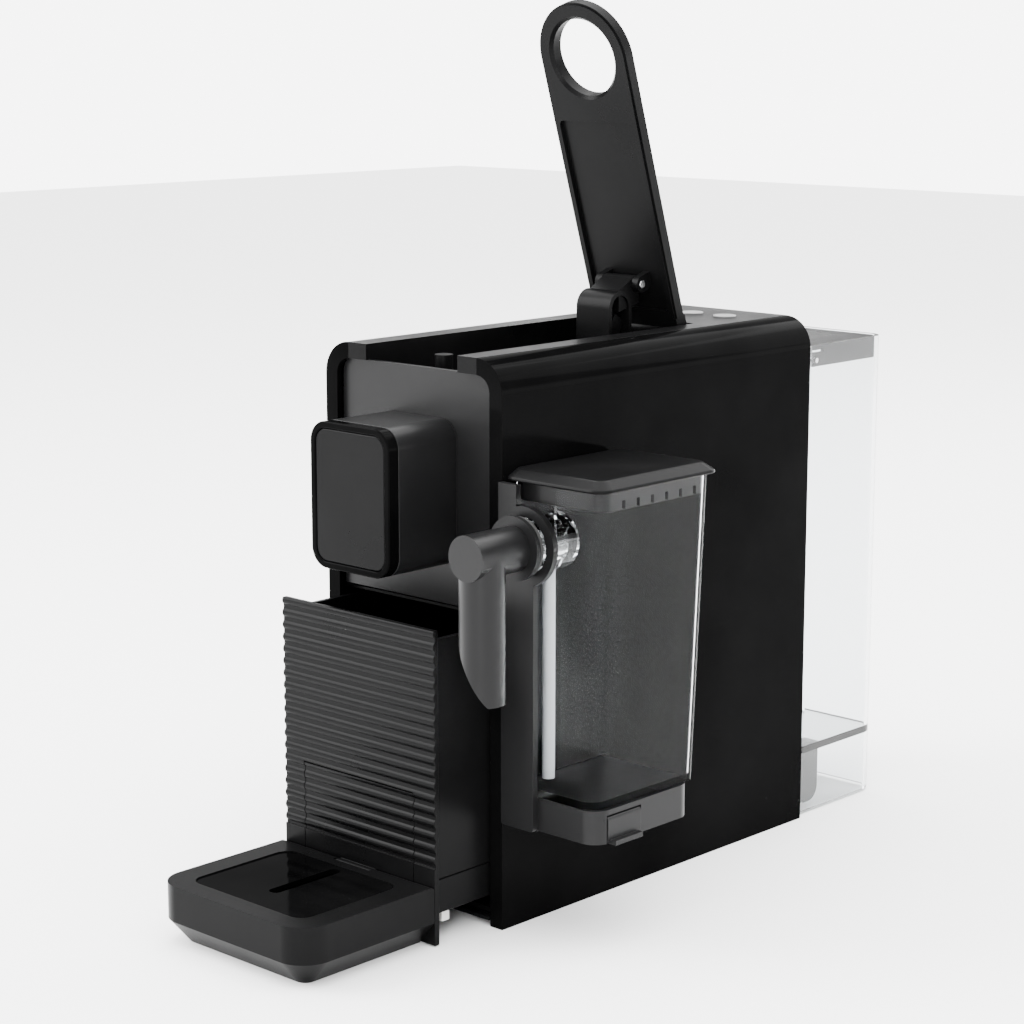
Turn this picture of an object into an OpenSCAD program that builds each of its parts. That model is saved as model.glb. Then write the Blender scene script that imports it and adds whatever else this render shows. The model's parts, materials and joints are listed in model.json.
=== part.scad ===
// Pod coffee machine with a plug-in milk unit.
// A narrow body between two side covers, a lever on top, a brew head over a
// pull-out pod drawer with a drip tray, a clear water tank behind and a clear
// milk container on the right-hand side. The lever stands open and the drawer
// is pulled out a little.
// All pieces are drawn in the body's own frame: X = 0 on the mid-plane, Y = 0
// at the front edge of the side covers, Z = 0 on the worktop. place() then
// moves them so that the origin lies under the middle of the whole machine.

/* [Body] */
// Width over both side covers
body_w = 117.6; // [115:0.2:120]
// Depth of the side covers
body_d = 234; // [232:1:236]
// Height of the body
body_h = 271.5; // [270:0.5:273]
// Radius of the upper edges of the side covers
cover_r = 16; // [12:1:18]
// Wall thickness of the side covers
cover_t = 2.4; // [2:0.1:3]
// Width of the front rim of each side cover
rim_w = 8; // [6:0.5:9]
// Half width of the lever well in the top
well_hw = 30.5; // [30:0.5:31.5]

/* [Brew head] */
// Width of the brew head
head_w = 52.6; // [50:0.2:54]
// Lowest point of the brew head
head_z0 = 170.7; // [168:0.1:172]
// Highest point of the brew head
head_z1 = 240.5; // [238:0.1:242]
// How far the head stands out in front of the side covers
head_out = 40.5; // [38:0.5:42]
// Corner radius of the head
head_r = 10; // [8:0.5:12]

/* [Lever] */
// Width of the lever
lever_w = 56; // [52:1:58]
// Thickness of the lever
lever_t = 7.2; // [6.5:0.1:7.4]
// Distance from the lever's pivot to the middle of its finger ring
ring_at = 144.7; // [140:0.5:146]
// Radius of the finger hole
ring_hole_r = 19.6; // [17:0.2:21]
// Forward lean of the open lever
lever_lean = 17.6; // [17:0.1:18]

/* [Drawer and tray] */
// How far the drawer is pulled out
drawer_out = 33.4; // [30:0.1:34]
// Width of the ribbed drawer front and of the tray
front_w = 102.8; // [100:0.2:104]
// Height of the ribbed drawer front
front_h = 151; // [148:1:152]
// Distance from one rib to the next
rib_pitch = 6; // [5:0.5:8]
// Depth of the drip tray, front to back
tray_d = 81.9; // [76:0.1:84]
// Height of the drip tray
tray_h = 29.5; // [28:0.5:31]

/* [Water tank] */
// Width of the water tank
tank_w = 112; // [108:1:114]
// Depth of the water tank
tank_d = 69.8; // [66:0.2:72]
// Height of the top of the tank
tank_top = 256; // [250:1:258]

/* [Milk unit] */
// How far the milk unit's lid reaches from the body's mid-plane
milk_out = 120.4; // [118:0.2:122]
// Depth of the milk container at its rim
milk_d = 79; // [76:1:81]
// Height of the container's floor above the worktop
milk_z0 = 69.8; // [69:0.1:71]
// Height of the container's rim above the worktop
milk_z1 = 217; // [212:1:218]
// Height of the milk spout's axis
spout_z = 188.7; // [186:0.1:190]

/* [Hidden] */
$fn = 48;
e = 0.01;                            // overlap that keeps cuts clean
half_w = body_w / 2;
in_w = half_w - cover_t;             // inner face of a side cover
seam_x = half_w - cover_r;           // seam between cover and top frame
well_d = 172;                        // the lever well ends here
base_z0 = 3;                         // underside of the base plate
base_z1 = 8;                         // floor of the drawer tunnel
panel_y = 3.6;                       // front panel, set back behind the rim
panel_z0 = 152;
panel_z1 = 263.5;
front_y = -drawer_out - 4.2;         // outer plane of the ribbed front
tray_front = front_y - 0.3 - tray_d;
tank_y0 = 236.2;
tank_rear = tank_y0 + tank_d;
origin_at = [(milk_out - half_w) / 2, (tray_front + tank_rear) / 2, 0];

// lever and toggle, in the Y-Z plane
pivot = [166.8, 267.6];
knee_along = 28;                     // knee pin, measured along the lever
knee_below = 8;                      // and below its mid-plane
toggle_len = 100;
toggle_drop = 60.3;                  // slope of the toggle arm when open
knee = [pivot[0] - knee_along * sin(lever_lean) - knee_below * cos(lever_lean),
        pivot[1] + knee_along * cos(lever_lean) - knee_below * sin(lever_lean)];
toggle_end = [knee[0] - toggle_len * cos(toggle_drop),
              knee[1] - toggle_len * sin(toggle_drop)];
hood_at = [137.5, 280.5];            // rounded nose of the toggle arm
brew_z = 205;                        // brewing axis
cage_y0 = 9;
cage_y1 = 38;
drain_z = 190.7;                     // pipe from the cage to the outlet
piston_face = 83;
tube_x = 19.7;                       // the water tube lies at -X
frame_screw_ys = [14, 148];
frame_screw_z = 241;
pin_r = 2;
button_xs = [-22, 0, 22];
button_y = 208;
screw_x = 51;                        // base screws
screw_ys = [146, 192];
dock_pipe_z = 22;
lid_axis = [243.7, 247.8];

// drawer, in its pulled-out place
front_t = 3;
drawer_back = front_y + 132.6;
flap_hw = 37.2;
flap_z0 = 25.2;
flap_z1 = 71.3;
tray_pin_y = front_y - 2.3;
tray_pin_z = tray_h - 2.1;
tray_back = front_y - 0.3;
tray_corner = 15;
tray_bevel = 12;                     // height where the walls turn in

// milk unit
milk_x0 = half_w + 0.5;
spout_x = 75.5;
spout_y = -30.6;                     // axis of the hanging spout pipe
spout_r = 10.6;
collar_r = 15;
milk_front = 2.2;
holder_out = 115.6;
tongue_ys = [14, 48];
tab_axis = [114.4, 64.8];            // hinge of the release tab
port_y = 11;                         // steam port on the right-hand side

// ---------- shared shapes ----------

// Moves a piece from the body's frame to the origin of the whole machine.
module place() {
    translate(-origin_at) children();
}

// Rectangle with true round corners, from corner a to corner b.
module round_rect(a, b, r) {
    translate([a[0] + r, a[1]]) square([b[0] - a[0] - 2 * r, b[1] - a[1]]);
    translate([a[0], a[1] + r]) square([b[0] - a[0], b[1] - a[1] - 2 * r]);
    for (x = [a[0] + r, b[0] - r], y = [a[1] + r, b[1] - r])
        translate([x, y]) circle(r);
}

// Box from corner a to corner b.
module box(a, b) {
    translate(a) cube(b - a);
}

// Upright block with round vertical edges.
module round_block(a, b, r) {
    translate([0, 0, a[2]]) linear_extrude(b[2] - a[2])
        round_rect([a[0], a[1]], [b[0], b[1]], r);
}

// Block whose edges along Y are round.
module round_bar(a, b, r) {
    translate([0, b[1], 0]) rotate([90, 0, 0]) linear_extrude(b[1] - a[1])
        round_rect([a[0], a[2]], [b[0], b[2]], r);
}

// Rod along X from x0 to x1, at y and z.
module rod_x(x0, x1, y, z, r) {
    translate([x0, y, z]) rotate([0, 90, 0]) cylinder(h = x1 - x0, r = r);
}

// Rod along Y from y0 to y1, at x and z.
module rod_y(y0, y1, x, z, r) {
    translate([x, y0, z]) rotate([-90, 0, 0]) cylinder(h = y1 - y0, r = r);
}

// Draws its children with the lever's pivot as origin and Z along the lever.
module along_lever() {
    translate([0, pivot[0], pivot[1]]) rotate([lever_lean, 0, 0]) children();
}

// ---------- body ----------

// Right half of the body's outline seen from the front, inset by t.
module half_outline(t) {
    square([half_w - t, body_h - cover_r]);
    square([seam_x, body_h - t]);
    translate([seam_x, body_h - cover_r]) circle(cover_r - t);
}

// Band that follows the outline on the right, w wide and past the seam only.
module cover_band(w) {
    difference() {
        half_outline(0);
        half_outline(w);
        square([seam_x, body_h + 1]);
        translate([half_w - w, -1]) square([w + 1, 1]);
    }
}

module side_cover() {
    difference() {
        union() {
            translate([0, body_d, 0]) rotate([90, 0, 0])
                linear_extrude(body_d) cover_band(cover_t);
            translate([0, 3, 0]) rotate([90, 0, 0])
                linear_extrude(3) cover_band(rim_w);
            // bosses for the base screws
            for (y = screw_ys)
                box([in_w - 11, y - 6, base_z1 + 0.1], [in_w + 1, y + 6, 20]);
        }
        for (y = screw_ys)
            translate([screw_x, y, base_z1 - 1]) cylinder(h = 10, r = 1.55);
    }
}

// Slots in the right cover for the milk unit's two tongues.
module tongue_slots() {
    for (y = tongue_ys)
        box([in_w - 1, y - 0.6, 57], [half_w + 1, y + 12.6, 65]);
}

module left_side_cover() {
    place() color("black") {
        mirror([1, 0, 0]) side_cover();
        // standoffs of the control board
        for (y = [164, 222], z = [164, 228])
            rod_x(-in_w - 0.5, -52.1, y, z, 3);
    }
}

module right_side_cover() {
    place() color("black") difference() {
        side_cover();
        tongue_slots();
        rod_x(in_w - 1, half_w + 1, port_y, spout_z, 4.2);
    }
}

// Top between the covers: deck with buttons behind, two strips beside the
// lever well, and the well's side walls with the pivot bosses.
module top_frame() {
    strip_t = 3;
    wall_t = 2;
    wall_z = 235;
    shelf_z = 254;
    place() color("dimgray") difference() {
        union() {
            box([-seam_x, well_d, body_h - strip_t], [seam_x, body_d, body_h]);
            for (s = [0, 1]) mirror([s, 0, 0]) {
                box([well_hw, 0, body_h - strip_t], [seam_x, well_d + 1, body_h]);
                box([well_hw, 0, panel_z1 + 0.2], [seam_x, 3, body_h]);
                box([well_hw, panel_y + 2.6, wall_z], [well_hw + wall_t, well_d + 4, body_h]);
                box([well_hw, 2.9, panel_z1 + 0.2], [well_hw + wall_t, panel_y + 3, body_h]);
                box([well_hw, pivot[0] - 8, pivot[1] - 9],
                    [well_hw + 8, well_d + 1, body_h]);
            }
            box([-well_hw - e, well_d, wall_z + 20],
                [well_hw + e, well_d + 2, body_h]);
            // shelf, and the stud that stands inside the closed lever's ring
            box([-well_hw - e, panel_y + 2.6, shelf_z - 2], [well_hw + e, 38, shelf_z]);
            translate([0, pivot[0] - ring_at, shelf_z - 1]) cylinder(h = 14.3, r = 4.4);
            // posts of the button board
            for (x = [-11, 11]) translate([x, button_y, 257.7]) cylinder(h = 12, r = 2.6);
        }
        rod_x(-well_hw - 9, well_hw + 9, pivot[0], pivot[1], pin_r + 0.04);
        for (x = button_xs)
            translate([x, button_y, body_h - 5]) cylinder(h = 6, r = 6.3);
        for (y = frame_screw_ys) rod_x(-40, 40, y, frame_screw_z, 1.55);
    }
}

// Front panel, set back behind the rims of the side covers.
module front_panel() {
    hw = half_w - rim_w - 0.6;
    place() color("dimgray") difference() {
        union() {
            translate([0, panel_y + 2.4, 0]) rotate([90, 0, 0])
                linear_extrude(2.4) difference() {
                    round_rect([-hw, panel_z0 - 20], [hw, panel_z1], 7);
                    square([3 * hw, 2 * panel_z0], center = true);
                }
            box([-hw, panel_y + 2, panel_z0], [hw, panel_y + 9, panel_z0 + 2]);
            // ears behind the rims of the side covers
            for (s = [0, 1], z = [160, 232]) mirror([s, 0, 0])
                box([hw - 4, panel_y + 2.2, z], [in_w - 0.1, panel_y + 4.4, z + 16]);
        }
        round_bar([-head_w / 2 + 3, panel_y - 1, head_z0 + 3],
                  [head_w / 2 - 3, panel_y + 5, head_z1 - 3], head_r - 3);
    }
}

module head_tube(y0, y1, inset, r) {
    round_bar([-head_w / 2 + inset, y0, head_z0 + inset],
              [head_w / 2 - inset, y1, head_z1 - inset], r);
}

module head_shell() {
    front = -head_out + 6.5;
    place() color("dimgray") difference() {
        head_tube(front, panel_y, 0, head_r);
        head_tube(front - 1, panel_y + 1, 2.4, head_r - 2.4);
        translate([0, -21, head_z0 - 1]) cylinder(h = 5, r = 11);
    }
}

module head_bezel() {
    back = -head_out + 6.4;
    place() color("black") difference() {
        union() {
            head_tube(-head_out, back, 0, head_r);
            head_tube(back - 1, back + 3, 2.5, head_r - 2.5);
        }
        head_tube(-head_out - 1, -head_out + 3.5, 3.3, head_r - 3.3);
        head_tube(-head_out + 3, back + 4, 4.5, head_r - 4.5);
    }
}

module head_face() {
    place() color("dimgray") union() {
        head_tube(-head_out + 0.4, -head_out + 3.4, 3.4, head_r - 3.4);
        head_tube(-head_out + 3, -head_out + 6, 4.7, head_r - 4.7);
    }
}

// Coffee outlet inside the head: a cup-shaped nozzle fed by a pipe.
module coffee_outlet() {
    nozzle_y = -21;
    nozzle_z = head_z0 + 0.6;
    place() color("darkgray") difference() {
        union() {
            translate([0, nozzle_y, nozzle_z]) cylinder(h = 15, r = 9.6);
            translate([0, nozzle_y, nozzle_z + 14]) cylinder(h = 11, r = 6);
            rod_y(nozzle_y, cage_y0 - 3.1, 0, drain_z, 5);
        }
        translate([0, nozzle_y, nozzle_z - 1]) cylinder(h = 13, r = 7.6);
        translate([0, nozzle_y, nozzle_z]) cylinder(h = drain_z - nozzle_z, r = 2.5);
        rod_y(nozzle_y, cage_y0, 0, drain_z, 2.5);
    }
}

module rear_panel() {
    place() color("black") difference() {
        union() {
            for (s = [0, 1]) mirror([s, 0, 0]) translate([0, body_d - 1.6, 0])
                rotate([90, 0, 0]) linear_extrude(2.4) half_outline(cover_t + 0.8);
            // posts of the heater block
            for (x = [-24, 24], z = [105, 141]) rod_y(222.1, body_d - 3, x, z, 4);
        }
        box([-60, body_d - 6, -1], [60, body_d, base_z0 + 0.2]);
        rod_y(body_d - 6, body_d, 0, dock_pipe_z, 4.3);
        box([-46, body_d - 5, 66], [-22, body_d, 84]);
        for (i = [0:7])
            box([-34, body_d - 5, 150 + 9 * i], [34, body_d, 153 + 9 * i]);
    }
}

module base_plate() {
    hw = in_w - 0.3;
    lip_hw = half_w - rim_w - 0.2;
    place() color("black") difference() {
        union() {
            box([-lip_hw, -0.6, base_z0], [lip_hw, 4, base_z0 + 2]);
            box([-hw, 3.4, base_z0], [hw, body_d - 4.2, base_z1]);
            // side guides of the drawer
            for (s = [-1, 1]) translate([s * 50.8, 0, 0])
                box([-1.2, 3.4, base_z1 - e], [1.2, 132, base_z1 + 12]);
        }
        for (x = [-44, 44], y = [18, 214])
            translate([x, y, base_z0 - 1]) cylinder(h = 3.1, r = 9.2);
        for (x = [-screw_x, screw_x], y = screw_ys) {
            translate([x, y, base_z0 - 1]) cylinder(h = 8, r = 1.55);
            translate([x, y, base_z0 - 1]) cylinder(h = 3, r = 3.2);
        }
        for (i = [0:5])
            box([-12, 160 + 8 * i, base_z0 - 1], [12, 163 + 8 * i, base_z1 + 1]);
    }
}

module rubber_feet() {
    place() color("gray") for (x = [-44, 44], y = [18, 214])
        translate([x, y, 0]) cylinder(h = base_z0 + 2, r = 9);
}

module base_screws() {
    place() color("silver") for (x = [-screw_x, screw_x], y = screw_ys)
        translate([x, y, base_z0 + 0.5]) {
            difference() {
                cylinder(h = 1.5, r = 3);
                translate([0, 0, -1]) cylinder(h = 1.8, r = 1.2);
            }
            translate([0, 0, 1]) cylinder(h = 10, r = 1.5);
        }
}

// Screws that hold the brewing unit in the lever well.
module frame_screws() {
    place() color("silver") for (s = [0, 1], y = frame_screw_ys) mirror([s, 0, 0]) {
        rod_x(25, 32.4, y, frame_screw_z, 1.5);
        rod_x(23.4, 25.1, y, frame_screw_z, 2.8);
    }
}

// Walls between the drawer's space and the electric parts: a rear wall and a
// ceiling with the chute that the pods fall through.
module drawer_tunnel() {
    hw = in_w - 0.4;
    place() color("black") difference() {
        union() {
            box([-hw, 133, base_z1 + 0.1], [hw, 135, 150]);
            box([-hw, 8, 148.4], [hw, 135, 150]);
            box([-26, 34, 149], [26, 102, 170]);
        }
        box([-24, 36, 140], [24, 100, 171]);
    }
}

// Black tongue behind the body that carries the tank.
module tank_dock() {
    place() color("black") difference() {
        translate([-50, 0, 0]) rotate([90, 0, 90]) linear_extrude(100)
            union() {
                translate([body_d - 1.5, 4]) square([18.5, 29.8]);
                translate([body_d - 1.5, 12]) square([26.5, 21.8]);
                translate([body_d + 17, 12]) circle(8);
            }
        translate([0, 247, 20]) cylinder(h = 20, r = 9.6);
        rod_y(body_d - 3, 247, 0, dock_pipe_z, 4.2);
    }
}

// Valve seat of the dock, with its pipe into the body.
module dock_valve() {
    place() color("darkgray") difference() {
        union() {
            translate([0, 247, 20.1]) cylinder(h = 9, r = 9.5);
            rod_y(218, 240, 0, dock_pipe_z, 4);
        }
        translate([0, 247, 24]) cylinder(h = 6, r = 6.4);
        rod_y(217, 247, 0, dock_pipe_z, 2.4);
        translate([0, 247, dock_pipe_z]) cylinder(h = 6, r = 2.4);
    }
}

module button(x) {
    place() color("gainsboro") translate([x, button_y, 0]) {
        translate([0, 0, body_h - 3.4]) cylinder(h = 4, r = 6);
        translate([0, 0, body_h - 9]) cylinder(h = 6, r = 2.2);
    }
}

module button_left() {
    button(button_xs[0]);
}
module button_middle() {
    button(button_xs[1]);
}
module button_right() {
    button(button_xs[2]);
}

// Small board with a switch under each button.
module button_board() {
    place() color("seagreen") union() {
        box([-30, button_y - 8, 256], [30, button_y + 8, 257.6]);
        for (x = button_xs)
            box([x - 3, button_y - 3, 257.5], [x + 3, button_y + 3, 261]);
    }
}

// ---------- lever and brewing unit ----------

module lever_outline(inset) {
    hw = lever_w / 2 - inset;
    translate([0, ring_at]) circle(hw, $fn = 96);
    translate([-hw, 7]) square([2 * hw, ring_at - 7]);
}

module lever() {
    edge = 1;
    hw = lever_w / 2;
    recess_z0 = 12;
    recess_d = 2.2;
    lug_x = 12.2;
    place() color("dimgray") along_lever() difference() {
        union() {
            rotate([90, 0, 0]) translate([0, 0, -lever_t / 2 + edge])
                linear_extrude(lever_t - 2 * edge) lever_outline(0);
            rotate([90, 0, 0]) translate([0, 0, -lever_t / 2])
                linear_extrude(lever_t) lever_outline(edge);
            rod_x(-hw, hw, 0, 0, 4.8);
            box([-hw, -3.6, 0], [hw, 3.6, 8]);
            for (s = [-1, 1]) translate([s * lug_x, 0, 0]) {
                rod_x(-2, 2, -knee_below, knee_along, 4.2);
                box([-2, -knee_below, knee_along - 4.2], [2, 0, knee_along + 4.2]);
            }
        }
        // finger hole with a chamfered rim
        translate([0, 0, ring_at]) rotate([90, 0, 0]) {
            cylinder(h = 20, r = ring_hole_r, center = true, $fn = 96);
            translate([0, 0, lever_t / 2 - 1.6])
                cylinder(h = 1.6 + e, r1 = ring_hole_r, r2 = ring_hole_r + 1.6, $fn = 96);
        }
        // shallow recess on the underside
        difference() {
            translate([0, recess_d - lever_t / 2, 0]) rotate([90, 0, 0])
                linear_extrude(6) round_rect([-24, recess_z0], [24, 112.2], 3);
            for (s = [-1, 1]) translate([s * lug_x, 0, 0])
                box([-2, -12.5, knee_along - 4.2], [2, 2, knee_along + 4.2]);
        }
        rod_x(-hw - 1, hw + 1, 0, 0, pin_r + 0.04);
        rod_x(-15, 15, -knee_below, knee_along, pin_r + 0.04);
    }
}

module lever_pin() {
    place() color("silver") rod_x(-well_hw - 7.8, well_hw + 7.8, pivot[0], pivot[1], pin_r);
}

// Toggle arm: an eye at the knee pin, a rounded nose, and a bar down to the piston.
module toggle_arm() {
    hw = 9.8;
    web = 3.4;
    place() color("dimgray") difference() {
        union() {
            // eye and block at the lever
            rod_x(-hw, hw, knee[0], knee[1], 4.2);
            translate([-hw, 0, 0]) rotate([90, 0, 90]) linear_extrude(2 * hw)
                polygon([[knee[0] + 3.2, knee[1] - 2.7], [knee[0] - 1, knee[1] + 4.1],
                         [hood_at[0], hood_at[1] + 8.5], [hood_at[0], hood_at[1] - 2],
                         [knee[0] + 2, knee[1] - 10]]);
            // web of the nose and bar
            translate([-web, 0, 0]) rotate([90, 0, 90]) linear_extrude(2 * web) {
                translate(hood_at) circle(8);
                translate([hood_at[0] - 8, 262]) square([16, hood_at[1] - 262]);
            }
            // rounded strap of the nose
            translate([-11, 0, 0]) rotate([90, 0, 90]) linear_extrude(22)
                difference() {
                    union() {
                        translate(hood_at) circle(8.7);
                        translate([hood_at[0] - 8.7, 262])
                            square([17.4, hood_at[1] - 262]);
                    }
                    translate(hood_at) circle(6.4);
                    translate([hood_at[0] - 6.4, 260])
                        square([12.8, hood_at[1] - 260]);
                }
            // bar
            translate([0, toggle_end[0], toggle_end[1]])
                rotate([toggle_drop - 90, 0, 0])
                    translate([-7, -4, 0]) cube([14, 8, toggle_len - 19]);
            rod_x(-hw, hw, toggle_end[0], toggle_end[1], 5);
        }
        rod_x(-20, 20, knee[0], knee[1], pin_r + 0.04);
        rod_x(-20, 20, toggle_end[0], toggle_end[1], pin_r + 0.04);
    }
}

module toggle_pins() {
    place() color("silver") {
        rod_x(-14.4, 14.4, knee[0], knee[1], pin_r);
        rod_x(-14.6, 14.6, toggle_end[0], toggle_end[1], pin_r);
    }
}

// Frame of the brewing unit: two side plates with a cross bar at each end.
module brew_frame() {
    plate_x = 27.2;
    lug_z1 = 246;
    place() color("dimgray") difference() {
        union() {
            for (s = [-1, 1]) translate([s * plate_x, 0, 0]) {
                box([-2, 7, 182], [2, 152, 233]);
                for (y = frame_screw_ys) {
                    box([-2, y - 6, 230], [2, y + 6, lug_z1]);
                    translate([s * 2.6, 0, 0])
                        box([-0.65, y - 6, 236], [0.65, y + 6, lug_z1]);
                }
            }
            box([-plate_x, 152, 182], [plate_x, 155, 233]);
            box([-plate_x, 7, 226], [plate_x, 30, 233]);
        }
        // guide slots for the piston's runners
        for (s = [-1, 1]) translate([s * plate_x, 0, 0])
            box([-3, 35, brew_z - 4.3], [3, 118, brew_z + 4.3]);
        for (y = frame_screw_ys) rod_x(-40, 40, y, frame_screw_z, 1.55);
        rod_y(150, 156, -tube_x, brew_z, 2.25);
    }
}

// Cage that holds the pod, with the drain to the coffee pipe.
module pod_cage() {
    bore_y0 = cage_y0 + 4;
    seat_y0 = cage_y1 - 3.5;
    place() color("darkgray") difference() {
        union() {
            rod_y(cage_y0, cage_y1, 0, brew_z, 20.5);
            box([-25.1, cage_y0, brew_z - 14], [25.1, cage_y0 + 10, brew_z + 14]);
            rod_y(cage_y0 - 3, cage_y0 + 1, 0, drain_z, 6);
        }
        rod_y(bore_y0, seat_y0 + 1, 0, brew_z, 15.6);
        rod_y(seat_y0, cage_y1 + 1, 0, brew_z, 18.8);
        rod_y(cage_y0 - 4, bore_y0 + 1, 0, drain_z, 2.5);
    }
}

// Plate with points that open the pod's foil.
module piercing_plate() {
    y0 = cage_y0 + 5;
    place() color("silver") difference() {
        union() {
            rod_y(y0, y0 + 2, 0, brew_z, 15.5);
            for (a = [0:45:315])
                translate([9 * cos(a), y0 + 1.9, brew_z + 9 * sin(a)])
                    rotate([-90, 0, 0]) cylinder(h = 2.6, r1 = 1.4, r2 = 0.3);
        }
        for (a = [22.5:45:337.5])
            rod_y(y0 - 1, y0 + 3, 9 * cos(a), brew_z + 9 * sin(a), 0.9);
    }
}

// Piston that closes the pod cage, with runners, a yoke for the toggle and a
// sleeve that slides over the fixed water tube.
module piston() {
    f = piston_face;
    place() color("dimgray") difference() {
        union() {
            rod_y(f, f + 8, 0, brew_z, 17.6);
            box([-24.7, f + 1.6, brew_z - 4], [24.7, f + 10, brew_z + 4]);
            for (s = [-1, 1]) {
                translate([s * 27.1, 0, 0])
                    box([-2.4, f + 2, brew_z - 4], [2.4, f + 16, brew_z + 4]);
                translate([s * 13, 0, 0])
                    box([-2, f + 7, brew_z - 8], [2, f + 26, brew_z + 8]);
            }
            rod_y(f + 7, f + 64, -tube_x, brew_z, 3.5);
        }
        // yoke slots leave the toggle's end pin room to run ahead
        for (s = [-1, 1]) translate([s * 13, 0, 0])
            box([-3, toggle_end[0] - 8.1 - pin_r, brew_z - 2.6],
                [3, toggle_end[0] + 3, brew_z + 2.6]);
        box([-10.4, f + 4.2, brew_z - 9], [10.4, f + 30, brew_z + 9]);
        // water way from the sleeve to the face
        rod_y(f + 11, f + 65, -tube_x, brew_z, 2.3);
        rod_y(f + 3, f + 12, -tube_x, brew_z, 1.2);
        rod_x(-tube_x, 0, f + 3, brew_z, 0.9);
        rod_y(f - 1, f + 3, 0, brew_z, 1.2);
    }
}

// Fixed tube that brings hot water to the moving piston.
module water_tube() {
    place() color("silver") difference() {
        rod_y(piston_face + 13, 160, -tube_x, brew_z, 2.2);
        rod_y(piston_face + 12, 161, -tube_x, brew_z, 1.2);
    }
}

module piston_seal() {
    place() color("firebrick") difference() {
        rod_y(piston_face - 2.2, piston_face, 0, brew_z, 16);
        rod_y(piston_face - 3, piston_face + 1, 0, brew_z, 12.5);
    }
}

// Vibration pump lying behind the drawer.
module pump() {
    place() color("silver") difference() {
        union() {
            box([-22, 160, 24], [22, 202, 66]);
            rod_y(148, 160, 0, 45, 14);
            rod_y(142, 149, 0, 45, 3);
            rod_y(202, 214, 0, 45, 11);
            rod_y(213, 219, 0, 45, 4);
        }
        rod_y(216, 220, 0, 45, 2);
        rod_y(141, 145, 0, 45, 1.5);
    }
}

module pump_mounts() {
    place() color("black") for (s = [-1, 1], y = [162, 190])
        translate([s * 18, 0, 0]) box([-4, y, base_z1], [4, y + 10, 24]);
}

// Heater block with its coil boss and terminals.
module heater_block() {
    place() color("silver") difference() {
        union() {
            round_block([-34, 164, 96], [34, 222, 150], 6);
            rod_x(-44, -33, 176, 110, 4);
            for (x = [-tube_x, 28]) translate([x, 190, 149]) cylinder(h = 7, r = 4);
            for (y = [196, 206]) rod_x(33, 42, y, 124, 2.4);
        }
        rod_x(-45, -38, 176, 110, 1.6);
        for (x = [-tube_x, 28]) translate([x, 190, 152]) cylinder(h = 5, r = 1.6);
    }
}

module flow_meter() {
    place() color("white") difference() {
        union() {
            translate([34.5, 190, base_z1]) cylinder(h = 6, r = 6);
            translate([34.5, 190, 13]) cylinder(h = 16, r = 10);
            translate([34.5, 190, 28]) cylinder(h = 7, r = 3.4);
            rod_y(199, 207, 34.5, dock_pipe_z, 3.4);
        }
        translate([34.5, 190, 30]) cylinder(h = 6, r = 1.8);
        rod_y(202, 208, 34.5, dock_pipe_z, 1.8);
    }
}

// Straight rod of radius r from point a to point b.
module rod(a, b, r) {
    d = b - a;
    translate(a) rotate([0, acos(d[2] / norm(d)), atan2(d[1], d[0])])
        cylinder(h = norm(d), r = r);
}

// Hose of radius r through the points p.
module hose_run(p, r) {
    for (i = [0:len(p) - 2]) rod(p[i], p[i + 1], r);
    for (i = [1:len(p) - 2]) translate(p[i]) sphere(r);
}

module control_board() {
    place() color("seagreen") union() {
        box([-52, 160, 160], [-50.4, 226, 232]);
        box([-50.4, 168, 180], [-40, 186, 204]);
        for (y = [196, 210]) rod_x(-50.5, -38, y, 190, 5);
        box([-50.4, 170, 210], [-44, 214, 224]);
    }
}

// Hoses from the dock to the flow meter, pump, heater, piston and steam port.
module water_hoses() {
    runs = [
        [[0, 217.9, dock_pipe_z], [0, 213, dock_pipe_z], [34.5, 213, dock_pipe_z],
         [34.5, 207.1, dock_pipe_z]],
        [[34.5, 190, 35.1], [34.5, 190, 45], [34.5, 224, 45], [0, 224, 45],
         [0, 219.1, 45]],
        [[0, 141.9, 45], [0, 139, 45], [-50, 139, 45], [-50, 139, 110],
         [-50, 176, 110], [-44.1, 176, 110]],
        [[-tube_x, 190, 156.1], [-tube_x, 190, brew_z], [-tube_x, 160.1, brew_z]],
        [[28, 190, 156.1], [28, 190, 172], [48, 190, 172], [48, 190, spout_z],
         [48, port_y, spout_z], [52.9, port_y, spout_z]]
    ];
    place() color("white") difference() {
        for (p = runs) hose_run(p, 2.8);
        for (p = runs) hose_run(p, 1.4);
    }
}

module steam_port() {
    place() color("silver") difference() {
        union() {
            rod_x(53, half_w + 6, port_y, spout_z, 4);
            rod_x(53, in_w - 0.1, port_y, spout_z, 5.6);
        }
        rod_x(52, half_w + 7, port_y, spout_z, 1.5);
    }
}

module mains_inlet() {
    place() color("black") difference() {
        round_bar([-45.9, body_d - 18, 66.1], [-22.1, body_d - 1.2, 83.9], 3);
        round_bar([-43.5, body_d - 14, 68.5], [-24.5, body_d, 81.5], 2);
    }
}

// ---------- drawer and drip tray ----------

// Lower part of the drawer, a shallow tub that carries the pod bin.
module drawer_chassis() {
    y0 = front_y + front_t;
    place() color("dimgray") difference() {
        box([-49, y0, 14.6], [49, drawer_back, 31.2]);
        box([-46.8, y0 + 2.2, 17], [46.8, drawer_back - 2.2, 32]);
    }
}

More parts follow.
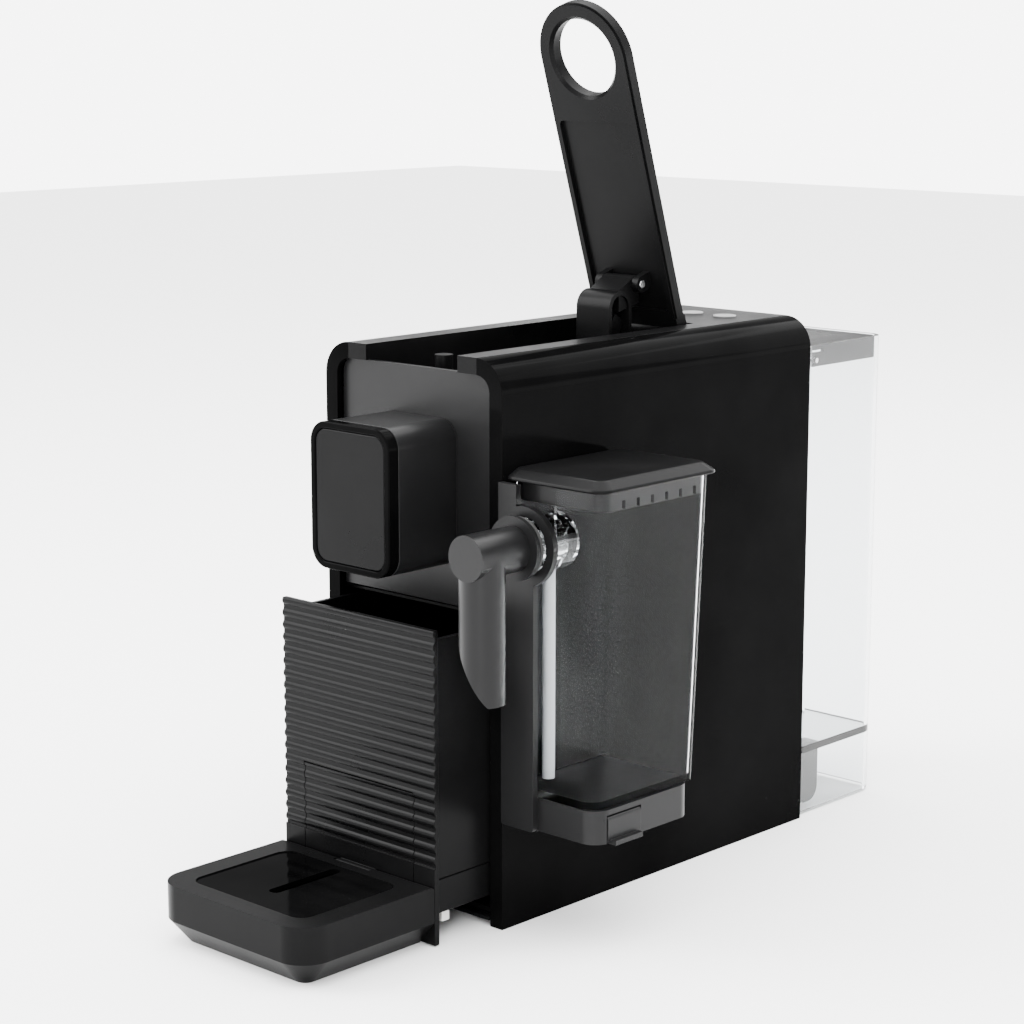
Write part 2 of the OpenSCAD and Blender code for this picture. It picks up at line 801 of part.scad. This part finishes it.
module pod_bin() {
    y0 = front_y + front_t + 0.3;
    place() color("black") difference() {
        union() {
            box([-49, y0, 31.6], [49, drawer_back, 146]);
            box([-46.4, y0 + 2.6, 24], [46.4, drawer_back - 2.6, 32]);
        }
        box([-46.6, y0 + 2.4, 34], [46.6, drawer_back - 2.4, 147]);
        // drain holes in the bin's floor
        for (i = [-3:3], j = [0:7])
            translate([12 * i, y0 + 22 + 12 * j, 23]) cylinder(h = 12, r = 2);
    }
}

// Pale glides under the drawer, which run on the base plate.
module drawer_glides() {
    place() color("gainsboro") for (s = [-1, 1], y = [front_y + 11, drawer_back - 22])
        translate([s * 43, 0, 0]) box([-2, y, base_z1 + 0.05], [2, y + 5, 14.6]);
}

// Tray body: upright wall above, sides and front sloping in below the bevel
// line, round front corners and an upright back. Its outline lies t inside
// the outer one.
module tray_form(t, z0, z1) {
    hw = front_w / 2 - t;
    r = tray_corner - t;
    slope = tray_bevel - 2;
    y0 = tray_front + t;
    y1 = tray_back - t;
    cx = hw - r;
    cy = y0 + r;
    translate([0, 0, tray_bevel]) linear_extrude(z1 - tray_bevel) {
        translate([-hw, cy]) square([2 * hw, y1 - cy]);
        translate([-cx, y0]) square([2 * cx, r + 1]);
        for (s = [-1, 1]) translate([s * cx, cy]) circle(r);
    }
    // sloping part
    translate([0, y1, 0]) rotate([90, 0, 0]) linear_extrude(y1 - cy)
        polygon([[-hw + slope, z0], [hw - slope, z0], [hw, tray_bevel + e],
                 [-hw, tray_bevel + e]]);
    translate([-cx, 0, 0]) rotate([90, 0, 90]) linear_extrude(2 * cx)
        polygon([[y0 + slope, z0], [cy + 1, z0], [cy + 1, tray_bevel + e],
                 [y0, tray_bevel + e]]);
    for (s = [-1, 1]) translate([s * cx, cy, z0])
        cylinder(h = tray_bevel + e - z0, r1 = r - slope, r2 = r);
}

// Vertical profile of the ribbed front: round ribs above a plain band.
module rib_profile(z0, z1, thick) {
    rib_r = 2.6;
    square_d = thick - 0.9;
    translate([-square_d, z0]) square([square_d, z1 - z0]);
    intersection() {
        translate([-thick, z0]) square([thick, z1 - z0]);
        union() {
            translate([-thick, 0]) square([thick, 38]);
            for (i = [0:18]) translate([-thick + rib_r, 41.4 + rib_pitch * i])
                circle(rib_r, $fn = 24);
        }
    }
}

module ribbed_slab(hw, z0, z1) {
    translate([-hw, front_y + front_t, 0]) rotate([90, 0, 90])
        linear_extrude(2 * hw) rib_profile(z0, z1, front_t);
}

module ribbed_front() {
    place() color("dimgray") difference() {
        ribbed_slab(front_w / 2, 0.6, front_h);
        box([-flap_hw - 0.3, front_y - 1, flap_z0 - 0.3],
            [flap_hw + 0.3, front_y + 2, flap_z1 + 0.6]);
    }
}

// Ribbed flap that closes the cut-out and carries the tray's hinge eye.
module tray_flap() {
    place() color("dimgray") difference() {
        union() {
            intersection() {
                ribbed_slab(flap_hw, flap_z0, flap_z1);
                box([-flap_hw, front_y, flap_z0], [flap_hw, front_y + 1.9, flap_z1]);
            }
            rod_x(-12, 12, tray_pin_y, tray_pin_z, 2);
            box([-12, tray_pin_y, tray_pin_z - 1.9],
                [12, front_y + 1, tray_pin_z + 1.4]);
        }
        rod_x(-13, 13, tray_pin_y, tray_pin_z, 1.04);
    }
}

module tray_pin() {
    place() color("silver") rod_x(-35.5, 35.5, tray_pin_y, tray_pin_z, 1);
}

module drip_tray() {
    place() color("black") difference() {
        tray_form(0, 0, tray_h);
        tray_form(2.6, 3, 25.2);
        translate([0, 0, 20]) linear_extrude(8) plate_outline(-2);
        // seat of the drip plate
        translate([0, 0, tray_h - 3]) linear_extrude(4) plate_outline(0.3);
        // room for the flap's hinge eye and its neck
        rod_x(-12.4, 12.4, tray_pin_y, tray_pin_z, 2.5);
        box([-12.4, tray_pin_y, tray_pin_z - 2.4], [12.4, tray_back + 1, tray_h + 1]);
        box([-12.4, tray_pin_y - 2.5, tray_pin_z], [12.4, tray_pin_y + 1, tray_h + 1]);
        rod_x(-36, 36, tray_pin_y, tray_pin_z, 1.04);
        // round upper back edge, so that the tray can fold up
        difference() {
            box([-60, tray_pin_y, tray_pin_z], [60, tray_back + 1, tray_h + 1]);
            rod_x(-61, 61, tray_pin_y, tray_pin_z, tray_back - tray_pin_y);
        }
    }
}

// Outline of the drip plate, larger by gap for its seat.
module plate_outline(gap) {
    hw = 38.6 + gap;
    round_rect([-hw, tray_front + 11 - gap], [hw, tray_back - 10 + gap], 7 + gap);
}

module drip_plate() {
    place() color("black") difference() {
        translate([0, 0, tray_h - 2.9]) linear_extrude(2.3) plate_outline(0);
        round_block([-3.2, tray_front + 27, tray_h - 4],
                    [3.2, tray_back - 12.5, tray_h], 3.1);
    }
}

// ---------- water tank ----------

// Plan of the tank, inset by t: small front corners, large rear corners.
module tank_plan(t) {
    hw = tank_w / 2 - t;
    rf = 3.5 - t / 2;
    rr = 10 - t;
    round_rect([-hw, tank_y0 + t], [hw, tank_y0 + 30], rf);
    round_rect([-hw, tank_y0 + 20], [hw, tank_rear - t], rr);
    translate([-hw, tank_y0 + 10]) square([2 * hw, 25]);
}

module water_tank() {
    wall = 2.4;
    floor_z0 = 34;
    floor_z1 = 38;
    place() color("azure", 0.35) difference() {
        translate([0, 0, 1.8]) linear_extrude(tank_top - 1.8) tank_plan(0);
        translate([0, 0, floor_z1]) linear_extrude(tank_top) tank_plan(wall);
        linear_extrude(floor_z0) tank_plan(wall);
        // the skirt is open towards the body, where the dock enters
        box([-50.6, tank_y0 - 1, 0], [50.6, tank_y0 + 10, floor_z0]);
        // low front wall, so that the lid can swing
        box([-53.6, tank_y0 - 1, 242], [53.6, tank_y0 + wall + 2.6, tank_top + 1]);
        translate([0, 247, floor_z0 - 1]) cylinder(h = 6, r = 6.1);
        rod_x(-tank_w / 2 - 1, tank_w / 2 + 1, lid_axis[0], lid_axis[1], 1.54);
    }
}

module tank_lid() {
    hw = tank_w / 2 - 3;
    y0 = tank_y0 + 2.8;
    y1 = tank_rear - 3;
    place() color("dimgray") difference() {
        union() {
            round_block([-hw, y0, tank_top - 2.6], [hw, y1, tank_top - 0.4], 2);
            difference() {
                round_block([-hw, y0 + 1, 244.3], [hw, y1, tank_top - 1], 2);
                round_block([-hw + 2.4, y0 + 3.2, 243],
                            [hw - 2.4, y1 - 2.4, tank_top - 2.6 + e], 2);
            }
            for (s = [-1, 1]) translate([s * (hw - 3), 0, 0])
                rod_x(-3, 3, lid_axis[0], lid_axis[1], 3.6);
        }
        // rear corners follow the tank's round ones
        for (s = [0, 1]) mirror([s, 0, 0]) difference() {
            box([hw - 7, y1 - 7, 240], [hw + 1, y1 + 1, tank_top + 1]);
            translate([hw - 7, y1 - 7, 239]) cylinder(h = 30, r = 7);
        }
        // front edge rounded about the hinge, with a slot above each arm
        difference() {
            box([-60, y0 - 1, 240], [60, lid_axis[0], tank_top + 1]);
            rod_x(-61, 61, lid_axis[0], lid_axis[1], 8.4);
        }
        for (s = [0, 1]) mirror([s, 0, 0])
            box([hw - 6, y0 - 1, 251.6], [hw + 1, y0 + 13, 253]);
        rod_x(-60, 60, lid_axis[0], lid_axis[1], 1.54);
        box([-20, y1 - 3, 243], [20, y1 + 1, 247]);
    }
}

module lid_pins() {
    place() color("silver") for (s = [0, 1]) mirror([s, 0, 0])
        rod_x(tank_w / 2 - 8.8, tank_w / 2 - 0.1, lid_axis[0], lid_axis[1], 1.5);
}

module tank_valve() {
    place() color("darkgray") union() {
        translate([0, 247, 30.5]) cylinder(h = 12, r = 6);
        translate([0, 247, 38.1]) cylinder(h = 2, r = 8);
        translate([0, 247, 27]) cylinder(h = 4, r = 3);
    }
}

// ---------- milk unit ----------

// Plan of the milk unit's base, with a round outer front corner.
module milk_plan(out, back, r) {
    round_rect([milk_x0, milk_front], [out, back], r);
    translate([milk_x0, milk_front]) square([20, back - milk_front]);
}

// Holder: base shell, front column with the cradle ring, and two tongues.
module milk_holder() {
    back = 71;
    ring_y0 = -3.6;
    ring_y1 = -0.4;
    foot_z = 53.5;
    column_x = 80;
    place() color("dimgray") difference() {
        union() {
            difference() {
                translate([0, 0, foot_z]) linear_extrude(16) milk_plan(holder_out, back, 9);
                translate([0, 0, foot_z - 2]) linear_extrude(15.4)
                    round_rect([milk_x0 + 2.5, milk_front + 2.5],
                               [holder_out - 2.5, back - 2.5], 6.5);
            }
            round_bar([milk_x0 + 0.4, -1.8, foot_z], [column_x, 1.4, 171.5], 1.5);
            box([milk_x0 + 0.4, 1, foot_z], [column_x, milk_front + 3, foot_z + 16]);
            rod_y(ring_y0, ring_y1, spout_x, spout_z, 18.5);
            // arm up to the lid
            box([milk_x0 + 0.6, ring_y0, spout_z + 8], [71, ring_y1, milk_z1 - 0.6]);
            for (y = tongue_ys) {
                box([in_w - 2, y, 58], [milk_x0 + 1.5, y + 12, 62]);
                box([in_w - 3.4, y, 58], [in_w - 0.6, y + 12, 64]);
            }
        }
        rod_y(ring_y0 - 1, ring_y1 + 1, spout_x, spout_z, 14);
        box([holder_out - 4, 9.6, 50], [holder_out + 1, 33.4, 67]);
        rod_y(8, 35, tab_axis[0], tab_axis[1], 0.85);
    }
}

// Sprung tab with a lip in the base's outer face.
module release_tab() {
    place() color("dimgray") union() {
        rod_y(8.2, 34.8, tab_axis[0], tab_axis[1], 0.8);
        rod_y(10, 33, tab_axis[0], tab_axis[1], 1.4);
        box([holder_out - 2.2, 10, 54.6], [holder_out + 0.4, 33, tab_axis[1]]);
        box([holder_out - 2, 12, 52.9], [holder_out + 3.4, 31, 55.2]);
    }
}

// Tapered form of the container, inset by t: wider at the top.
module milk_form(t, z0, z1) {
    r = 9 - t;
    x0 = milk_x0 + 0.9 + t;
    y0 = milk_front + t;
    hull() {
        round_block([x0, y0, z0], [113.6 - t, y0 + milk_d - 3 - 2 * t, z0 + 0.1], r);
        round_block([x0, y0, z1 - 0.1], [118 - t, y0 + milk_d - 2 * t, z1], r);
    }
}

module milk_container() {
    place() color("azure", 0.35) difference() {
        milk_form(0, milk_z0, milk_z1, $fn = 32);
        milk_form(1.8, milk_z0 + 3, milk_z1 + 0.2, $fn = 32);
        // notch in the front wall that takes the frother
        rod_y(-5, 8, spout_x, spout_z, 13.7);
        box([spout_x - 13.7, -5, spout_z], [spout_x + 13.7, 8, milk_z1 + 1]);
        // hole for the body's steam port
        rod_x(milk_x0, milk_x0 + 4, port_y, spout_z, 4.6);
    }
}

module milk_lid() {
    lid_z1 = milk_z1 + 5.5;
    y1 = milk_front + milk_d + 1.8;
    place() color("dimgray") hull() {
        round_block([milk_x0, -0.8, milk_z1 + 0.2], [milk_out, y1, milk_z1 + 1.6], 7, $fn = 32);
        round_block([milk_x0 + 3, 4, lid_z1 - 0.1], [milk_out - 5, y1 - 5, lid_z1], 5, $fn = 32);
    }
}

module milk_gasket() {
    t = 2.5;
    y1 = milk_front + milk_d;
    place() color("lightgray") difference() {
        round_block([milk_x0 + 3.4, milk_front + 2.4, milk_z1 - 9],
                    [115.4, y1 - 2.4, milk_z1 + 0.15], 6);
        round_block([milk_x0 + 3.4 + t, milk_front + 2.4 + t, milk_z1 - 10],
                    [115.4 - t, y1 - 2.4 - t, milk_z1 + 1], 4);
        // notches round the rim
        for (i = [0:5])
            box([milk_x0, milk_front + 16 + 10 * i, milk_z1 - 10],
                [milk_out, milk_front + 18 + 10 * i, milk_z1 - 5]);
    }
}

// Dip tube from the frother down to the container's floor.
module milk_tube() {
    place() color("gainsboro") difference() {
        translate([spout_x, 14, milk_z0 + 6]) cylinder(h = 104, r = 3);
        translate([spout_x, 14, milk_z0 + 5]) cylinder(h = 106, r = 2);
    }
}

// Clear frother housing: a drum in the container's notch, with a neck in front.
module frother_body() {
    place() color("azure", 0.5) difference() {
        union() {
            rod_y(1.6, 20, spout_x, spout_z, 13.3);
            rod_y(-8.2, 2, spout_x, spout_z, 12.4);
        }
        rod_y(-9, 17, spout_x, spout_z, 6);
        translate([spout_x, 14, spout_z - 16]) cylinder(h = 16, r = 3.05);
        // socket for the steam port
        rod_x(59, half_w + 6.3, port_y, spout_z, 4.1);
        rod_x(59, spout_x, port_y, spout_z, 1.5);
    }
}

module frother_rings() {
    place() color("black") for (y = [-6.8, -0.2])
        difference() {
            rod_y(y, y + 1.6, spout_x, spout_z, 14.2);
            rod_y(y - 1, y + 3, spout_x, spout_z, 12.45);
        }
}

// Milk spout: pipe along Y with a closed end, a collar with its spigot, and a
// hanging pipe with a slanted mouth that faces the cup.
module milk_spout() {
    drop = 68;
    tip_z = spout_z - drop;
    end_y = spout_y - spout_r;
    place() color("dimgray") difference() {
        union() {
            rod_y(end_y, -9, spout_x, spout_z, spout_r);
            rod_y(-10.6, -8.4, spout_x, spout_z, collar_r);
            rod_y(-9, -3, spout_x, spout_z, 5.92);
            translate([spout_x, spout_y, tip_z]) cylinder(h = drop, r = spout_r);
        }
        rod_y(end_y + 2, -2, spout_x, spout_z, 4.4);
        translate([spout_x, spout_y, tip_z - 1]) cylinder(h = drop + 1, r = spout_r - 2);
        // slanted mouth
        translate([spout_x + spout_r - 1.4, spout_y - 20, tip_z - 0.4])
            rotate([0, -30.5, 0])
                translate([-80, 0, -60]) cube([80, 40, 120]);
    }
}

left_side_cover();
right_side_cover();
top_frame();
front_panel();
head_shell();
head_bezel();
head_face();
coffee_outlet();
rear_panel();
base_plate();
rubber_feet();
base_screws();
tank_dock();
dock_valve();
button_left();
button_middle();
button_right();
button_board();
lever();
lever_pin();
toggle_arm();
toggle_pins();
brew_frame();
frame_screws();
pod_cage();
piercing_plate();
piston();
piston_seal();
water_tube();
pump();
pump_mounts();
heater_block();
flow_meter();
control_board();
water_hoses();
drawer_tunnel();
drawer_chassis();
pod_bin();
drawer_glides();
ribbed_front();
tray_flap();
tray_pin();
drip_tray();
drip_plate();
water_tank();
tank_lid();
lid_pins();
tank_valve();
milk_holder();
release_tab();
milk_container();
milk_lid();
milk_gasket();
milk_tube();
frother_body();
frother_rings();
milk_spout();
steam_port();
mains_inlet();
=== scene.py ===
import json
import math

import bmesh
import bpy
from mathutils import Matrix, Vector


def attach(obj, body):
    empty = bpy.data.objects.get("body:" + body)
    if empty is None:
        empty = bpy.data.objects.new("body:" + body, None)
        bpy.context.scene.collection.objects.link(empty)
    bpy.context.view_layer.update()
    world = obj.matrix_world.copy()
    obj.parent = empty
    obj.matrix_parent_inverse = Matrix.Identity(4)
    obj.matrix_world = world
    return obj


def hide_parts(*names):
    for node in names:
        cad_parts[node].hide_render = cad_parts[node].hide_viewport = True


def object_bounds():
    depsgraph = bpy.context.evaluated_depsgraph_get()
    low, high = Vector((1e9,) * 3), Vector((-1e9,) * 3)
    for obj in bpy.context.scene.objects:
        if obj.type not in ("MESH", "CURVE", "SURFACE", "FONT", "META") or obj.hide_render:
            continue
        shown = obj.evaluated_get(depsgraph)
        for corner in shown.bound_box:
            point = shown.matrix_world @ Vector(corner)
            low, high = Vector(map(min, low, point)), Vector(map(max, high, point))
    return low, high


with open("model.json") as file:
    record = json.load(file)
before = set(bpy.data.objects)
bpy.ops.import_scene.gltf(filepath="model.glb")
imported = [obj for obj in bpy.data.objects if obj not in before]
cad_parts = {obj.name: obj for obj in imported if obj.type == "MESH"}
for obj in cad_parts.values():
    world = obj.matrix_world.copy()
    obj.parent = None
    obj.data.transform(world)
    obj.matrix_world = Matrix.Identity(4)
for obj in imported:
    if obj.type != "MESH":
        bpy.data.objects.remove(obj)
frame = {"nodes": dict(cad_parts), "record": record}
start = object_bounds()
nodes = frame["nodes"]
body_of_node = {n: b for b, ns in frame["record"]["behaviour"]["bodies"].items() for n in ns}
slot_of_node = {s["node"]: s["material_slot"] for s in frame["record"]["subparts"]}


# ---------- materials ----------

def plastic(name, color, rough, spread=0.08, grain=0.0, grain_size=900.0, ior=1.45,
            smudge=0.12, streak=None, wear=0.25):
    """Moulded plastic or metal: base tone with slow variation, smudged roughness, fine grain."""
    mat = bpy.data.materials.new(name)
    mat.use_nodes = True
    nt = mat.node_tree
    bsdf = nt.nodes["Principled BSDF"]
    coord = nt.nodes.new("ShaderNodeTexCoord")
    slow = nt.nodes.new("ShaderNodeTexNoise")
    slow.inputs["Scale"].default_value = 14.0
    slow.inputs["Detail"].default_value = 5.0
    nt.links.new(coord.outputs["Object"], slow.inputs["Vector"])
    fine = nt.nodes.new("ShaderNodeTexNoise")
    fine.inputs["Scale"].default_value = grain_size
    fine.inputs["Detail"].default_value = 3.0
    if streak:
        mapping = nt.nodes.new("ShaderNodeMapping")
        mapping.inputs["Scale"].default_value = streak
        nt.links.new(coord.outputs["Object"], mapping.inputs["Vector"])
        nt.links.new(mapping.outputs["Vector"], fine.inputs["Vector"])
    else:
        nt.links.new(coord.outputs["Object"], fine.inputs["Vector"])
    # colour varies a little, and rubbed patches are paler
    ramp = nt.nodes.new("ShaderNodeValToRGB")
    ramp.color_ramp.elements[0].position = 0.3
    ramp.color_ramp.elements[0].color = [c * (1 - spread) for c in color] + [1]
    ramp.color_ramp.elements[1].position = 0.75
    ramp.color_ramp.elements[1].color = [min(1, c * (1 + spread) + 0.002) for c in color] + [1]
    nt.links.new(slow.outputs["Fac"], ramp.inputs["Fac"])
    nt.links.new(ramp.outputs["Color"], bsdf.inputs["Base Color"])
    # roughness: smudges plus fine grain
    low = nt.nodes.new("ShaderNodeMapRange")
    low.inputs["To Min"].default_value = max(0.03, rough - smudge * 0.5)
    low.inputs["To Max"].default_value = min(1.0, rough + smudge)
    low.inputs["From Min"].default_value = 0.35
    low.inputs["From Max"].default_value = 0.7
    nt.links.new(slow.outputs["Fac"], low.inputs["Value"])
    mix = nt.nodes.new("ShaderNodeMath")
    mix.operation = "MULTIPLY_ADD"
    mix.inputs[1].default_value = 0.06 * wear
    nt.links.new(fine.outputs["Fac"], mix.inputs[0])
    nt.links.new(low.outputs["Result"], mix.inputs[2])
    nt.links.new(mix.outputs[0], bsdf.inputs["Roughness"])
    bsdf.inputs["IOR"].default_value = ior
    if grain:
        bump = nt.nodes.new("ShaderNodeBump")
        bump.inputs["Strength"].default_value = grain
        bump.inputs["Distance"].default_value = 0.0002
        nt.links.new(fine.outputs["Fac"], bump.inputs["Height"])
        nt.links.new(bump.outputs["Normal"], bsdf.inputs["Normal"])
    return mat


def metal(name, color, rough, streak=(40, 40, 1500)):
    mat = plastic(name, color, rough, spread=0.1, grain=0.25, grain_size=6.0, smudge=0.1,
                  streak=streak, wear=1.5)
    mat.node_tree.nodes["Principled BSDF"].inputs["Metallic"].default_value = 1.0
    return mat


def clear(name, tint, rough=0.02, ior=1.45):
    """Clear moulded plastic with faint smears."""
    mat = bpy.data.materials.new(name)
    mat.use_nodes = True
    nt = mat.node_tree
    bsdf = nt.nodes["Principled BSDF"]
    bsdf.inputs["Base Color"].default_value = tint
    bsdf.inputs["Transmission Weight"].default_value = 1.0
    bsdf.inputs["IOR"].default_value = ior
    coord = nt.nodes.new("ShaderNodeTexCoord")
    noise = nt.nodes.new("ShaderNodeTexNoise")
    noise.inputs["Scale"].default_value = 22.0
    noise.inputs["Detail"].default_value = 6.0
    nt.links.new(coord.outputs["Object"], noise.inputs["Vector"])
    rng = nt.nodes.new("ShaderNodeMapRange")
    rng.inputs["From Min"].default_value = 0.45
    rng.inputs["From Max"].default_value = 0.75
    rng.inputs["To Min"].default_value = rough
    rng.inputs["To Max"].default_value = rough + 0.02
    nt.links.new(noise.outputs["Fac"], rng.inputs["Value"])
    nt.links.new(rng.outputs["Result"], bsdf.inputs["Roughness"])
    wave = nt.nodes.new("ShaderNodeBump")
    wave.inputs["Strength"].default_value = 0.012
    wave.inputs["Distance"].default_value = 0.0005
    nt.links.new(noise.outputs["Fac"], wave.inputs["Height"])
    nt.links.new(wave.outputs["Normal"], bsdf.inputs["Normal"])
    return mat


looks = {
    "gloss_black": plastic("gloss_black_shell", (0.0005, 0.0005, 0.00055), 0.08, smudge=0.04,
                           grain=0.02, grain_size=260.0, ior=1.05, wear=0.4),
    "satin_grey": plastic("satin_grey_shell", (0.004, 0.004, 0.0042), 0.32, grain=0.16,
                          grain_size=1500.0, ior=1.22, smudge=0.08),
    "satin_black": plastic("satin_black_shell", (0.0014, 0.0014, 0.0015), 0.30, grain=0.16,
                           grain_size=1500.0, ior=1.12, smudge=0.08),
    "inner_black": plastic("inner_black", (0.0025, 0.0025, 0.0025), 0.5, grain=0.2, ior=1.2,
                           smudge=0.1),
    "pale": plastic("pale_nylon", (0.62, 0.61, 0.58), 0.45, grain=0.1),
    "frosted": plastic("frosted_plastic", (0.35, 0.36, 0.37), 0.4, grain=0.1),
    "steel": metal("brushed_steel", (0.52, 0.52, 0.53), 0.28),
    "aluminium": metal("cast_aluminium", (0.5, 0.51, 0.52), 0.45, streak=(300, 300, 300)),
    "rubber": plastic("rubber", (0.012, 0.012, 0.012), 0.7, grain=0.4, smudge=0.1),
    "seal": plastic("seal_rubber", (0.35, 0.06, 0.03), 0.55, grain=0.2),
    "hose": plastic("hose_silicone", (0.6, 0.6, 0.57), 0.4, grain=0.1),
    "board": plastic("board_green", (0.02, 0.12, 0.05), 0.4, grain=0.1),
    "button": plastic("button_grey", (0.18, 0.18, 0.18), 0.3, grain=0.05),
    "clear": clear("clear_tank_plastic", (0.88, 0.9, 0.91, 1), rough=0.0, ior=1.42),
    "clear_jug": clear("clear_jug_plastic", (0.97, 0.98, 0.985, 1), rough=0.0, ior=1.09),
}


# ---------- pieces ----------

# pieces whose plastic is another grade than the rest of their slot
grades = {"milk_container": "clear_jug", "milk_gasket": "satin_grey"}

EDGE_SEGMENTS = 2
EDGE_ANGLE = 28.0       # edges sharper than this, in degrees, are rounded
SHARP_ANGLE = 33.0      # and edges sharper than this are shaded as creases

# faces with a hole through them are left as they come, because merging would fill the hole
keep_faces = {"lever"}


def refined(node, width):
    """A piece made from a CAD node's own faces, with its edges rounded."""
    src = nodes[node]
    bm = bmesh.new()
    bm.from_mesh(src.data)
    bmesh.ops.remove_doubles(bm, verts=bm.verts, dist=2e-6)
    bmesh.ops.dissolve_degenerate(bm, edges=bm.edges, dist=1e-6)
    if node not in keep_faces:
        bmesh.ops.dissolve_limit(bm, angle_limit=math.radians(0.6), verts=bm.verts,
                                 edges=bm.edges)
    mesh = bpy.data.meshes.new(node + "_shape")
    bm.to_mesh(mesh)
    bm.free()
    obj = bpy.data.objects.new(node + "_piece", mesh)
    bpy.context.scene.collection.objects.link(obj)
    if width:
        bevel = obj.modifiers.new("edges", "BEVEL")
        bevel.width = width
        bevel.segments = EDGE_SEGMENTS
        bevel.limit_method = "ANGLE"
        bevel.angle_limit = math.radians(EDGE_ANGLE)
        bevel.use_clamp_overlap = True
        bevel.harden_normals = False
        bevel.miter_outer = "MITER_ARC"
    for p in mesh.polygons:
        p.use_smooth = True
    mesh.set_sharp_from_angle(angle=math.radians(SHARP_ANGLE))
    wn = obj.modifiers.new("normals", "WEIGHTED_NORMAL")
    wn.keep_sharp = True
    wn.weight = 80
    mesh.materials.clear()
    mesh.materials.append(looks[grades.get(node, slot_of_node[node])])
    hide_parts(node)
    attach(obj, body_of_node[node])
    return obj


widths = {
    "lever": 0.0010, "head_shell": 0.0003, "head_bezel": 0.0009, "head_face": 0.0006,
    "drip_tray": 0.0010, "milk_lid": 0.0008, "left_side_cover": 0.0009,
    "right_side_cover": 0.0009, "toggle_arm": 0.0008, "milk_spout": 0.0006,
    "water_tank": 0.0005, "milk_container": 0.0006, "ribbed_front": 0.0003,
    "tray_flap": 0.0003, "pod_bin": 0.0006, "drawer_chassis": 0.0005,
    "milk_holder": 0.0007, "release_tab": 0.0005, "top_frame": 0.0005,
}
pieces = {n: refined(n, widths.get(n, 0.0003)) for n in sorted(nodes)}

# ---------- stage ----------

lo, hi = start
bpy.ops.mesh.primitive_plane_add(size=9.0, location=(0, 0, lo.z))
floor = bpy.context.active_object
floor.name = "floor"
floor_mat = bpy.data.materials.new("pale_floor")
floor_mat.use_nodes = True
fb = floor_mat.node_tree.nodes["Principled BSDF"]
fb.inputs["Base Color"].default_value = (0.93, 0.93, 0.93, 1)
fb.inputs["Roughness"].default_value = 0.75
floor.data.materials.append(floor_mat)

world = bpy.data.worlds.new("studio")
bpy.context.scene.world = world
world.use_nodes = True
bg = world.node_tree.nodes["Background"]
bg.inputs["Color"].default_value = (1, 1, 1, 1)
BAND_TOP = 0.035       # upward part of the view direction where the band starts to fade
BAND_END = 0.11         # and where it has faded out
# a bright band stands all round at the floor's edge and the studio above it is dimmer
ray = world.node_tree.nodes.new("ShaderNodeTexCoord")
height = world.node_tree.nodes.new("ShaderNodeSeparateXYZ")
world.node_tree.links.new(ray.outputs["Generated"], height.inputs[0])
glow = world.node_tree.nodes.new("ShaderNodeMapRange")
glow.inputs["From Min"].default_value = BAND_TOP
glow.inputs["From Max"].default_value = BAND_END
glow.inputs["To Min"].default_value = 7.0
glow.inputs["To Max"].default_value = 0.9
world.node_tree.links.new(height.outputs["Z"], glow.inputs["Value"])
world.node_tree.links.new(glow.outputs["Result"], bg.inputs["Strength"])


def softbox(name, at, to, size, watts):
    light = bpy.data.lights.new(name, "AREA")
    light.shape = "RECTANGLE"
    light.size, light.size_y = size
    light.energy = watts
    obj = bpy.data.objects.new(name, light)
    bpy.context.scene.collection.objects.link(obj)
    obj.location = at
    obj.rotation_mode = "QUATERNION"
    obj.rotation_quaternion = (Vector(at) - Vector(to)).to_track_quat("Z", "Y")


mid = (lo + hi) / 2
softbox("key_left", (-1.3, -1.1, 1.1), mid, (0.9, 1.3), 70)
softbox("top", (0.1, 0.1, 1.9), mid, (2.2, 2.2), 60)
softbox("front_right", (1.1, -1.6, 0.7), mid, (0.25, 1.4), 26)
softbox("rear", (0.4, 1.6, 0.9), mid, (1.6, 1.0), 30)

# a very wide overhead sun lights the floor evenly up to the backdrop
sun_data = bpy.data.lights.new("sky_panel", "SUN")
sun_data.energy = 11.0
sun_data.angle = math.radians(110)
sun = bpy.data.objects.new("sky_panel", sun_data)
bpy.context.scene.collection.objects.link(sun)
sun.location = (0, 0, 3)

# ---------- camera ----------

yaw = math.radians(43.21)
cam_data = bpy.data.cameras.new("camera")
cam = bpy.data.objects.new("camera", cam_data)
bpy.context.scene.collection.objects.link(cam)
cam.location = (0.8016, -0.9099, 0.422)
aim = math.radians(11.07)
look_dir = Vector((-math.sin(yaw) * math.cos(aim), math.cos(yaw) * math.cos(aim), -math.sin(aim)))
cam.rotation_mode = "QUATERNION"
cam.rotation_quaternion = (-look_dir).to_track_quat("Z", "Y")
cam_data.sensor_width = 36.0
cam_data.lens = 88.0
bpy.context.scene.camera = cam
